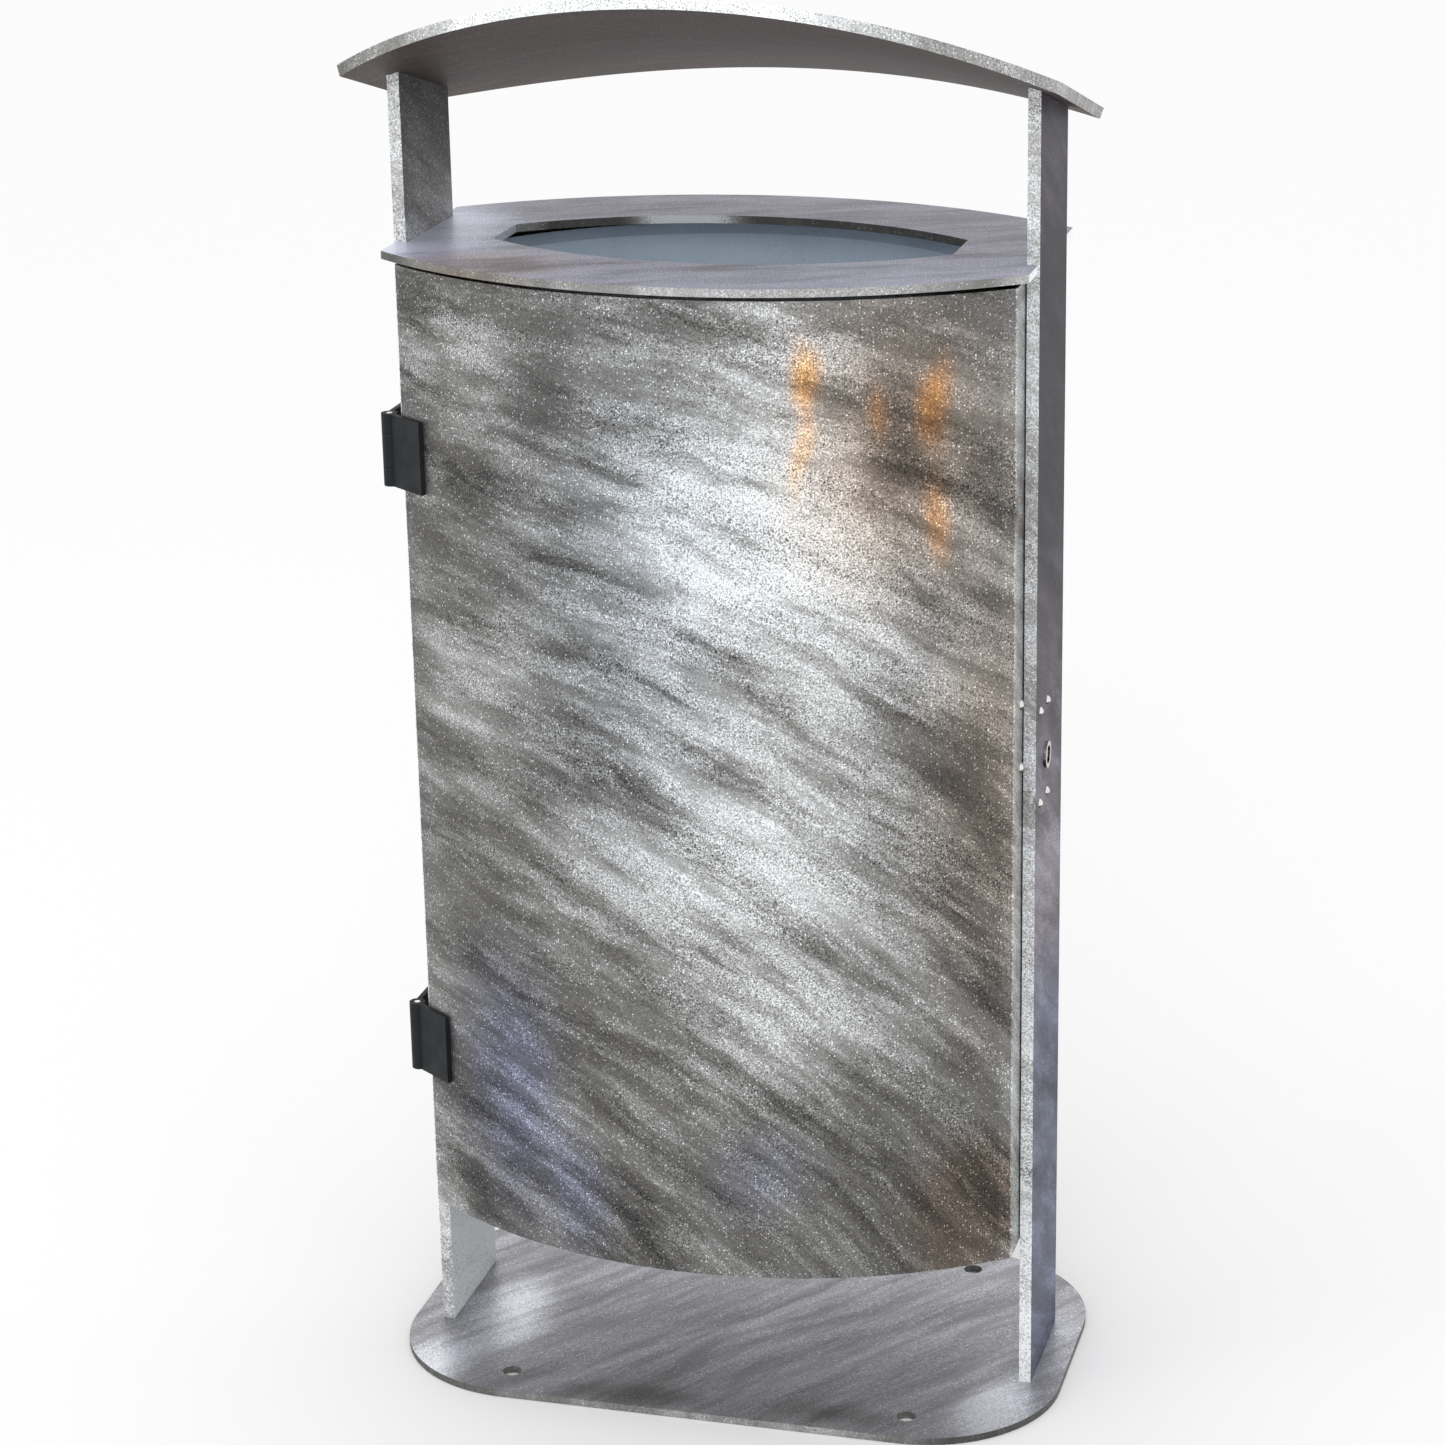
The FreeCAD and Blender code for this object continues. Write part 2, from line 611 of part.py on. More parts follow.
def keep_side(body, edge, facing):
    """Cuts away everything that lies beyond edge on the side away from the facing."""
    far = "2 * derived.frame_half"
    away = new_sketch(body, "away", y=f"{facing}({edge} - {far} / 2)")
    draw_rectangle(away, "4 * derived.frame_half", far)
    pocket(body, away)


def make_skin(label, half, edge, facing, height):
    """A curved sheet with return flanges at both ends, facing the door side or the rear."""
    body = new_body(label)
    bind(body, Base_z="dims.door_bottom_height")
    pad(body, draw_lens(new_sketch(body, "outline"), half, "body_end", "body_apex"), height)
    pocket(body, draw_lens(new_sketch(body, "hollow"), half, "body_end", "body_apex",
                           "skin_thickness"))
    keep_side(body, edge, facing)
    corner = number("body_end") * (-1 if facing == "-" else 1)
    edges = upright_edges(body.Shape, number(half), corner)
    round_edges(body, edges, "dims.bend_radius")
    return body


def make_rib(label, half, facing, height):
    """A flat stiffener that follows the inside of a skin."""
    body = new_body(label)
    bind(body, Base_z=height)
    pad(body, draw_lens(new_sketch(body, "outline"), half, "body_end", "body_apex",
                        "rib_offset"), "dims.rib_thickness")
    pocket(body, draw_lens(new_sketch(body, "hollow"), half, "body_end", "body_apex",
                           "rib_width"))
    keep_side(body, "derived.rib_back", facing)
    return finish(body, label)


def make_ribs():
    low = "dims.door_bottom_height + dims.rib_inset"
    high = "derived.door_top - dims.rib_inset - dims.rib_thickness"
    make_rib("door_bottom_rib", "door_half", "-", low)
    make_rib("door_top_rib", "door_half", "-", high)
    make_rib("rear_bottom_rib", "rear_half", "", low)
    make_rib("rear_top_rib", "rear_half", "", high)


# ---- shelf and liner ----------------------------------------------------------------------------

def make_liner_shelf():
    body = new_body("liner_shelf")
    bind(body, Base_z="dims.shelf_height")
    pad(body, draw_lens(new_sketch(body, "outline"), "shelf_half", "shelf_end", "shelf_apex"),
        "dims.shelf_thickness")
    tabs = new_sketch(body, "tabs")
    draw_rectangle(tabs, "2 * (derived.inner_half - dims.weld_gap)", "dims.shelf_tab_width")
    pad(body, tabs, "dims.shelf_thickness")
    for step in (-2, -1, 0, 1, 2):
        hole = new_sketch(body, f"drain_{step + 2}", x=f"{step}.0 * dims.drain_hole_spacing")
        pocket(body, draw_circle(hole, "dims.drain_hole_diameter"))
    return finish(body, "liner_shelf")


def make_liner_wall(label, foot, height):
    """A ring of the liner's wall."""
    body = new_body(label)
    bind(body, Base_z=foot)
    pad(body, draw_lens(new_sketch(body, "outline"), "liner_half", "liner_end", "liner_apex"),
        height)
    pocket(body, draw_lens(new_sketch(body, "hollow"), "liner_half", "liner_end", "liner_apex",
                           "liner_wall"))
    return finish(body, label)


def make_liner():
    make_liner_wall("liner_shell", "derived.liner_bottom", "derived.shell_height")
    band = make_liner_wall("liner_band", "derived.band_foot", "dims.liner_band_height")
    hand = new_sketch(band, "hand_hole", "XZ_Plane", y="dims.liner_band_height - dims.hand_hole_drop",
                      z="-derived.liner_apex - dims.liner_wall")
    draw_rectangle(hand, "dims.hand_hole_length", "dims.hand_hole_height")
    pocket(band, hand)

    bottom = new_body("liner_bottom_plate")
    bind(bottom, Base_z="derived.liner_bottom")
    pad(bottom, draw_lens(new_sketch(bottom, "outline"), "liner_half", "liner_end",
                          "liner_apex", "liner_bottom_offset"), "dims.liner_wall")
    finish(bottom, "liner_bottom_plate")

    rim = new_body("liner_rim")
    bind(rim, Base_z="derived.liner_top - dims.liner_rim_height")
    pad(rim, draw_lens(new_sketch(rim, "outline"), "liner_half", "liner_end", "liner_apex",
                       "liner_bottom_offset"), "dims.liner_rim_height")
    pocket(rim, draw_lens(new_sketch(rim, "hollow"), "liner_half", "liner_end", "liner_apex",
                          "rim_bore_offset"))
    finish(rim, "liner_rim")


# ---- hinges ------------------------------------------------------------------------------------

def at_hinge(thing, level, swung=False):
    """Sets a piece that is drawn about the pin axis at its hinge, along the door if swung."""
    if swung:
        thing.Placement.Rotation = FreeCAD.Rotation(FreeCAD.Vector(0, 0, -1), 10)
        thing.setExpression("Placement.Rotation.Angle", "derived.leaf_slope")
    bind(thing, Base_x="derived.hinge_axis_x", Base_y="derived.hinge_axis_y", Base_z=level)


def under_leaf(leaf, depth):
    """Where a stud's axis is at a depth inwards from the face under a leaf, and its direction."""
    if leaf == "frame":
        return {"x": f"derived.hinge_face + ({depth})", "y": "derived.frame_stud_along",
                "turn": ALONG_X}
    return {"x": "derived.door_stud_along", "y": f"derived.leaf_back + ({depth})",
            "turn": ALONG_Y}


def leaf_plate(leaf, name):
    """The flat part of a leaf, from the pin axis to its free edge."""
    low = "-dims.hinge_height / 2"
    if leaf == "frame":
        return block(name, "derived.hinge_face - dims.hinge_leaf_thickness", "0", low,
                     "dims.hinge_leaf_thickness", "derived.frame_leaf_length",
                     "dims.hinge_height")
    return block(name, "0", "derived.leaf_back - dims.hinge_leaf_thickness", low,
                 "dims.hinge_leaf_length", "dims.hinge_leaf_thickness", "dims.hinge_height")


def make_hinge(mark, level):
    """One hinge: a frame leaf with the outer knuckles, a door leaf with the middle one, a pin."""
    half = "dims.hinge_height / 2"
    middle = "dims.hinge_centre_knuckle / 2"
    foot = f"({middle} + dims.hinge_knuckle_gap)"
    outer = [("top", foot, half), ("low", f"-{half}", f"-{foot}")]
    inner = [("mid", f"-{middle}", middle)]
    for leaf, own, other in (("frame", outer, inner), ("door", inner, outer)):
        name = f"{mark}_{leaf}"
        rooms, knuckles = [], []
        for place, low, high in other:
            rooms.append(rod(f"{name}_{place}_room", "dims.hinge_radius + dims.hinge_swing_gap",
                             f"{high} - ({low}) + 2 * dims.hinge_knuckle_gap",
                             z=f"{low} - dims.hinge_knuckle_gap"))
        for place, low, high in own:
            knuckles.append(rod(f"{name}_{place}_knuckle", "dims.hinge_radius",
                                f"{high} - ({low})", z=low))
        cleared = cut(name + "_cleared", leaf_plate(leaf, name + "_plate"), *rooms)
        bores = [rod(name + "_bore", "dims.hinge_pin_diameter / 2 + dims.hinge_pin_clearance",
                     "dims.hinge_height", z=f"-{half}")]
        for place, sign in (("upper", ""), ("lower", "-")):
            bores.append(rod(f"{name}_{place}_hole", "derived.hinge_stud_bore / 2",
                             "dims.hinge_leaf_thickness", z=f"{sign}dims.hinge_stud_spacing / 2",
                             **under_leaf(leaf, "-dims.hinge_stud_inset")))
        result = cut(name + "_leaf", fuse(name + "_solid", cleared, *knuckles), *bores)
        at_hinge(result, level, swung=(leaf == "door"))
        finish(result, f"hinge_{leaf}_leaf_{mark}")
    pin = rod(f"hinge_pin_{mark}", "dims.hinge_pin_diameter / 2", "dims.hinge_height")
    bind(pin, Base_x="derived.hinge_axis_x", Base_y="derived.hinge_axis_y",
         Base_z=f"{level} - {half}")
    finish(pin, f"hinge_pin_{mark}")


def make_hinge_fasteners(leaf, wall):
    """Studs held in one kind of leaf, and the nuts that clamp it; returns the wall's cutters."""
    studs, nuts, holes = [], [], []
    for mark, level in (("upper", "derived.hinge_high_z"), ("lower", "derived.hinge_low_z")):
        for place, sign in (("upper", ""), ("lower", "-")):
            name = f"{leaf}_{mark}_{place}"
            z = f"{sign}dims.hinge_stud_spacing / 2"
            stud = rod(name + "_stud", "dims.hinge_stud_diameter / 2",
                       f"{wall} + dims.hinge_stud_inset + dims.hinge_stud_reach", z=z,
                       **under_leaf(leaf, "-dims.hinge_stud_inset"))
            hole = rod(name + "_hole", "derived.hinge_stud_bore / 2", f"2 * {wall}", z=z,
                       **under_leaf(leaf, "0"))
            bore = rod(name + "_nut_bore", "derived.hinge_stud_bore / 2",
                       "dims.hinge_nut_height", z=z, **under_leaf(leaf, wall))
            blank = hexagon(name + "_nut_blank", "dims.hinge_nut_flats", "dims.hinge_nut_height",
                            z=z, **under_leaf(leaf, wall))
            nut = cut(name + "_nut", blank, bore)
            for kind, pieces, thing in (("stud", studs, stud), ("hole", holes, hole),
                                        ("nut", nuts, nut)):
                holder = group(f"{name}_{kind}_place", [thing])
                at_hinge(holder, level, swung=(leaf == "door"))
                pieces.append(holder)
    finish(group(f"hinge_{leaf}_studs", studs), f"hinge_{leaf}_studs")
    finish(group(f"hinge_{leaf}_nuts", nuts), f"hinge_{leaf}_nuts")
    return holes


# ---- rivets ------------------------------------------------------------------------------------

def make_rivets(label, diameter, head, outer, grip, places):
    """Blind rivets along X: a domed head outside, a tail inside; returns their hole cutters.

    A cutter passes both faces of the grip by half of it.
    """
    rivets, holes = [], []
    for index, (y, z) in enumerate(places):
        name = f"{label}_{index}"
        shank = rod(name + "_shank", f"{diameter} / 2", grip, x=f"{outer} - ({grip})", y=y, z=z,
                    turn=ALONG_X)
        tail = rod(name + "_tail", f"dims.rivet_tail_ratio * {diameter} / 2",
                   "dims.rivet_tail_height", x=f"{outer} - ({grip}) - dims.rivet_tail_height",
                   y=y, z=z, turn=ALONG_X)
        cap = dome(name + "_dome", head, "dims.rivet_head_height", x=outer, y=y, z=z,
                   turn=ALONG_X)
        rivets.append(fuse(name + "_rivet", shank, tail, cap))
        holes.append(rod(name + "_hole", f"({diameter} + dims.hole_play) / 2",
                         f"2 * ({grip})", x=f"{outer} - 1.5 * ({grip})", y=y, z=z, turn=ALONG_X))
    finish(group(label, rivets), label)
    return holes


# ---- lock --------------------------------------------------------------------------------------

def lock_rod(name, diameter, start, end):
    """A cylinder on the lock's axis between two X positions."""
    return rod(name, f"({diameter}) / 2", f"{end} - ({start})", x=start, y="derived.lock_y",
               z="dims.lock_height", turn=ALONG_X)


def make_lock():
    """The cylinder, its ring nut, the riveted case and the turning parts; returns hole cutters."""
    front = "derived.frame_half + dims.lock_collar_height"
    recess = f"{front} - dims.lock_recess_depth"
    bore = "dims.lock_plug_diameter + 2 * dims.lock_plug_clearance"
    collar = lock_rod("lock_collar", "dims.lock_collar_diameter", "derived.frame_half", front)
    barrel = lock_rod("lock_barrel", "dims.lock_barrel_diameter", "derived.barrel_end",
                      "derived.frame_half")
    housing = cut("lock_cylinder", fuse("lock_cylinder_blank", collar, barrel),
                  lock_rod("lock_bore", bore, "derived.barrel_end", front),
                  lock_rod("lock_recess", "dims.lock_recess_diameter", recess, front))
    finish(housing, "lock_cylinder")

    seat = "derived.inner_half - dims.case_back"
    ring = cut("lock_ring_nut",
               lock_rod("ring_nut_blank", "dims.lock_nut_diameter",
                        f"{seat} - dims.lock_nut_height", seat),
               lock_rod("ring_nut_bore", "dims.lock_barrel_diameter + dims.hole_play",
                        f"{seat} - dims.lock_nut_height", seat))
    finish(ring, "lock_ring_nut")

    places = []
    for y in ("derived.rivet_front_y", "derived.rivet_front_y + dims.lock_rivet_pitch_y"):
        for z in ("derived.rivet_low_z", "derived.rivet_low_z + dims.lock_rivet_pitch_z"):
            places.append((y, z))
    rivet_holes = make_rivets("lock_rivets", "dims.lock_rivet_diameter", "dims.lock_rivet_head",
                              "derived.frame_half", "dims.upright_thickness + dims.case_back",
                              places)
    passage = lock_rod("lock_passage", "dims.lock_barrel_diameter + dims.hole_play",
                       "derived.inner_half - 2 * dims.case_back", front)

    case = block("case_outer", "derived.case_inner", "derived.case_front", "derived.case_bottom",
                 "dims.case_length", "dims.case_depth", "dims.case_height")
    room = block("case_room", "derived.case_inner + dims.case_wall",
                 "derived.case_front - dims.case_wall", "derived.case_bottom + dims.case_wall",
                 "dims.case_length - dims.case_wall - dims.case_back", "dims.case_depth",
                 "dims.case_height - 2 * dims.case_wall")
    finish(cut("lock_case", case, room, passage, *rivet_holes), "lock_case")

    shoulder_foot = f"{recess} + dims.lock_plug_clearance"
    shoulder_top = f"{shoulder_foot} + dims.lock_shoulder_thickness"
    stub = doc.addObject("Part::Prism", "key_stub")
    stub.Polygon = 3
    stub.Placement.Rotation = FreeCAD.Rotation(FreeCAD.Vector(*ALONG_X[0]), ALONG_X[1])
    bind(stub, Circumradius="dims.key_triangle * 2 / 3",
         Height=f"{front} - dims.key_setback - ({shoulder_top})", Base_x=shoulder_top,
         Base_y="derived.lock_y", Base_z="dims.lock_height")
    plug = fuse("lock_plug", stub,
                lock_rod("plug_shoulder", "dims.lock_recess_diameter - 2 * dims.lock_shoulder_play",
                         shoulder_foot, shoulder_top),
                lock_rod("plug_shaft", "dims.lock_plug_diameter", "derived.cam_outer",
                         shoulder_foot),
                lock_rod("plug_neck", "dims.lock_neck_diameter", "derived.cam_inner",
                         "derived.cam_outer"))
    finish(plug, "lock_plug")

    arm = block("cam_arm", "derived.cam_inner",
                "derived.lock_y - dims.cam_reach", "dims.lock_height - dims.cam_width / 2",
                "dims.cam_thickness", "dims.cam_reach", "dims.cam_width")
    hub = lock_rod("cam_hub", "dims.cam_hub_diameter", "derived.cam_inner", "derived.cam_outer")
    hole = lock_rod("cam_hole", "dims.lock_neck_diameter + dims.hole_play", "derived.cam_inner",
                    "derived.cam_outer")
    finish(cut("lock_cam", fuse("cam_blank", arm, hub), hole), "lock_cam")

    screw = hexagon("lock_cam_screw", "dims.cam_screw_flats", "dims.cam_screw_height",
                    x="derived.cam_inner - dims.cam_screw_height", y="derived.lock_y",
                    z="dims.lock_height", turn=ALONG_X)
    finish(screw, "lock_cam_screw")
    return rivet_holes + [passage]


def make_strike():
    """A joggled bracket on the door's return flange; its lug stands behind the locked cam."""
    plate = block("strike_plate", "derived.strike_inner", "derived.strike_front",
                  "derived.strike_low_z", "dims.strike_thickness", "dims.strike_plate_depth",
                  "dims.strike_plate_height")
    web = block("strike_web", "derived.tongue_inner",
                "-derived.door_flange_back", "derived.tongue_low_z",
                "derived.flange_inner - derived.tongue_inner", "dims.strike_thickness",
                "dims.tongue_height")
    tongue = block("strike_tongue", "derived.tongue_inner", "-derived.door_flange_back",
                   "derived.tongue_low_z", "dims.strike_thickness",
                   "derived.lug_front + dims.strike_thickness + derived.door_flange_back",
                   "dims.tongue_height")
    lug = block("strike_lug", "derived.tongue_outer - dims.lug_length", "derived.lug_front",
                "derived.tongue_low_z", "dims.lug_length", "dims.strike_thickness",
                "dims.tongue_height")
    low = "derived.strike_rivet_z"
    places = [("derived.strike_rivet_y", low),
              ("derived.strike_rivet_y", f"{low} + dims.strike_rivet_pitch")]
    holes = make_rivets("strike_rivets", "dims.strike_rivet_diameter", "dims.strike_rivet_head",
                        "derived.door_half", "dims.skin_thickness + dims.strike_thickness", places)
    finish(cut("strike_bracket", fuse("strike_blank", plate, web, tongue, lug), *holes),
           "strike_bracket")
    return holes


# ---- door stops --------------------------------------------------------------------------------

def make_stops():
    tabs, buffers = [], []
    for mark, level in (("low", "dims.stop_low_height"), ("high", "derived.stop_high_z")):
        z = f"{level} - dims.stop_height / 2"
        tabs.append(block(f"stop_{mark}", "derived.inner_half - dims.stop_depth",
                          "derived.stop_front", z, "dims.stop_depth", "dims.stop_thickness",
                          "dims.stop_height"))
        buffers.append(block(f"buffer_{mark}",
                             "derived.inner_half - dims.buffer_length",
                             "derived.buffer_front", z, "dims.buffer_length",
                             "dims.buffer_thickness", "dims.stop_height"))
    finish(group("door_stop_tabs", tabs), "door_stop_tabs")
    finish(group("door_buffers", buffers), "door_buffers")


# ---- the bin -----------------------------------------------------------------------------------

make_base_plate()
make_roof_plate()
lock_holes = make_lock()
frame_stud_holes = make_hinge_fasteners("frame", "dims.upright_thickness")
door_stud_holes = make_hinge_fasteners("door", "(dims.skin_thickness + dims.hinge_seat_gap)")
make_upright("left", frame_stud_holes)
make_upright("right", lock_holes)
make_top_plate()
finish(make_skin("rear_panel", "rear_half", "derived.rear_flange_front", "",
                 "derived.rear_height"), "rear_panel")
door_blank = make_skin("door_blank", "door_half", "derived.door_flange_back", "-",
                       "derived.door_height")
finish(cut("door_skin", door_blank, *door_stud_holes, *make_strike()), "door_skin")
make_ribs()
make_liner_shelf()
make_liner()
make_hinge("upper", "derived.hinge_high_z")
make_hinge("lower", "derived.hinge_low_z")
make_stops()
doc.recompute()

failed = [thing.Name for thing in doc.Objects if {"Invalid", "Error"} & set(thing.State)]
if failed:
    raise ValueError("not computed: " + ", ".join(failed))
os.makedirs("parts", exist_ok=True)
for thing in sub_parts:
    if thing.Shape.isNull() or not thing.Shape.isValid() or not thing.Shape.Solids:
        raise ValueError(thing.Label + " has no sound solid")
    thing.Shape.exportStep(f"parts/{thing.Label}.step")
    print(f"{thing.Label}: {len(thing.Shape.Solids)} solid(s), {thing.Shape.Volume:.0f} mm3")
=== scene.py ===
import math

import bpy
from mathutils import Matrix, Vector


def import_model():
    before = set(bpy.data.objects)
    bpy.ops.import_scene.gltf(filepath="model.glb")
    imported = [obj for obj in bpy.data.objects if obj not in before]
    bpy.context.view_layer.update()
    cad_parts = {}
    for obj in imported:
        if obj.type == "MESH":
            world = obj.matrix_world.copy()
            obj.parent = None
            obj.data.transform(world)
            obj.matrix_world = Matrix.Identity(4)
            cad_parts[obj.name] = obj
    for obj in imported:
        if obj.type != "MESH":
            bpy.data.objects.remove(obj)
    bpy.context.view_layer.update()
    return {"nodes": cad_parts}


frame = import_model()

# Outdoor litter bin of hot-dip galvanised steel. Metres, +Z up, the door faces -Y.

MM = 0.001
X, Y, Z = 0, 1, 2

nodes = frame["nodes"]

# Where the door ends, and where its lock side turns in.
DOOR_HALF_WIDTH = 251.0 * MM
DOOR_TURN = 240.0 * MM
# Heights between which the door's marks change their lean.
LEAN_FOOT, LEAN_HEAD = 0.18, 0.92
# Reaches that the stops of a changing edge or face are shares of.
UPRIGHT_REACH = 1.15
PLATE_REACH = 0.29
TOP_REACH = 0.26
# Between the front of the top plate's opening and the plate's front edge.
TOP_RIM_MIDDLE = -0.11
# Just below the liner's folded rim.
LINER_LIP = 939.0 * MM


# ---- node-tree helpers ---------------------------------------------------------------------------

def grey(level):
    return (level, level, level)


class Nodes:
    """A material's node tree with short ways to add nodes and links."""

    def __init__(self, name):
        self.material = bpy.data.materials.new(name)
        self.material.use_nodes = True
        self.tree = self.material.node_tree
        self.shader = self.tree.nodes["Principled BSDF"]
        source = self.add("ShaderNodeTexCoord")
        self.where = source.outputs["Object"]
        self.normal = source.outputs["Normal"]

    def add(self, kind, inputs=None, **settings):
        node = self.tree.nodes.new(kind)
        for name, value in settings.items():
            setattr(node, name, value)
        for name, value in (inputs or {}).items():
            self.feed(node.inputs[name], value)
        return node

    def feed(self, socket, value):
        """Links an output into a socket, or sets the socket's plain value."""
        if isinstance(value, bpy.types.NodeSocket):
            self.tree.links.new(value, socket)
        else:
            socket.default_value = value

    def set(self, **inputs):
        """Feeds the shader's own sockets; an underscore stands for a space in a name."""
        for name, value in inputs.items():
            self.feed(self.shader.inputs[name.replace("_", " ")], value)

    def math(self, operation, first, second=0.0, third=0.0):
        return self.add("ShaderNodeMath", {0: first, 1: second, 2: third},
                        operation=operation).outputs[0]

    def span(self, value, low, high, to_low=0.0, to_high=1.0, ease="LINEAR"):
        """Maps low..high to to_low..to_high and holds the ends."""
        node = self.add("ShaderNodeMapRange", {"Value": value, "From Min": low, "From Max": high,
                                               "To Min": to_low, "To Max": to_high},
                        interpolation_type=ease)
        return node.outputs["Result"]

    def split(self, vector):
        return self.add("ShaderNodeSeparateXYZ", {"Vector": vector}).outputs

    def warped(self, scale, reach):
        """Object coordinates bent by a soft noise."""
        swirl = self.add("ShaderNodeTexNoise", {"Vector": self.where, "Scale": scale,
                                                "Detail": 2.0}).outputs["Color"]
        centred = self.add("ShaderNodeVectorMath", {0: swirl, 1: grey(0.5)},
                           operation="SUBTRACT").outputs[0]
        pushed = self.add("ShaderNodeVectorMath", {0: centred, "Scale": reach},
                          operation="SCALE").outputs[0]
        return self.add("ShaderNodeVectorMath", {0: self.where, 1: pushed},
                        operation="ADD").outputs[0]

    def noise(self, where, scale, detail=4.0, rough=0.55):
        return self.add("ShaderNodeTexNoise", {"Vector": where, "Scale": scale, "Detail": detail,
                                               "Roughness": rough}).outputs["Fac"]

    def swing(self, noise, reach, edge=0.2):
        """A noise turned into a swing of plus or minus reach about nothing."""
        return self.span(noise, 0.5 - edge, 0.5 + edge, -reach, reach)

    def ramp(self, factor, *stops):
        """A colour ramp; each stop is (position, colour or grey level)."""
        node = self.add("ShaderNodeValToRGB", {"Fac": factor})
        elements = node.color_ramp.elements
        while len(elements) < len(stops):
            elements.new(0.5)
        for element, (position, colour) in zip(elements, stops):
            element.position = position
            if isinstance(colour, (int, float)):
                colour = grey(colour)
            element.color = (*colour, 1.0)
        return node.outputs["Color"]

    def mix(self, factor, first, second, blend="MIX"):
        node = self.add("ShaderNodeMix", data_type="RGBA", blend_type=blend)
        colour_a, colour_b, result = node.inputs[6], node.inputs[7], node.outputs[2]
        self.feed(node.inputs["Factor"], factor)
        for socket, value in ((colour_a, first), (colour_b, second)):
            if isinstance(value, tuple):
                value = (*value, 1.0)
            self.feed(socket, value)
        return result

    def patch(self, where, centre, reach):
        """1 at a point, falling softly to 0 at the given reach; an axis of reach 0 is ignored."""
        scale = [1.0 / step if step else 0.0 for step in reach]
        shift = [-at * by for at, by in zip(centre, scale)]
        moved = self.add("ShaderNodeMapping", {"Vector": where, "Location": shift,
                                               "Scale": scale}).outputs[0]
        far = self.add("ShaderNodeVectorMath", {0: moved}, operation="LENGTH").outputs["Value"]
        return self.span(far, 0.0, 1.0, 1.0, 0.0, "SMOOTHERSTEP")

    def patches(self, where, start, spots):
        """A level with soft patches added to it; each spot is (centre, reach, amount)."""
        level = start
        for centre, reach, amount in spots:
            level = self.math("MULTIPLY_ADD", self.patch(where, centre, reach), amount, level)
        return level

    def facing(self, axis, sign=1.0):
        """1 where the surface faces along an axis, 0 elsewhere."""
        side = self.split(self.normal)[axis]
        return self.span(self.math("MULTIPLY", side, sign), 0.55, 0.75)

    def bump(self, height, strength, distance):
        node = self.add("ShaderNodeBump", {"Height": height, "Strength": strength,
                                           "Distance": distance})
        self.set(Normal=node.outputs["Normal"])


def on_wall(x, z, wide, tall, amount):
    """A spot on an upright surface, placed and sized as seen from the front."""
    return (x, 0.0, z), (wide, 0.0, tall), amount


def on_plate(x, y, wide, deep, amount):
    """A spot on a level plate, placed and sized as seen from above."""
    return (x, y, 0.0), (wide, deep, 0.0), amount


# ---- galvanised steel ----------------------------------------------------------------------------

# Each tint multiplies the zinc's own colour.
ORANGE = (1.75, 1.05, 0.52)
BROWN = (1.16, 0.98, 0.84)
UMBER = (1.22, 0.95, 0.86)
VIOLET = (0.94, 0.93, 1.14)
FAINT_VIOLET = (0.985, 0.975, 1.05)
DUSK = (1.03, 0.95, 1.18)
MIST = (0.90, 0.96, 1.32)
PALE_BLUE = (0.93, 1.0, 1.10)
SHEET_BLUE = (0.86, 0.97, 1.10)
BLUE = (0.80, 0.90, 1.30)


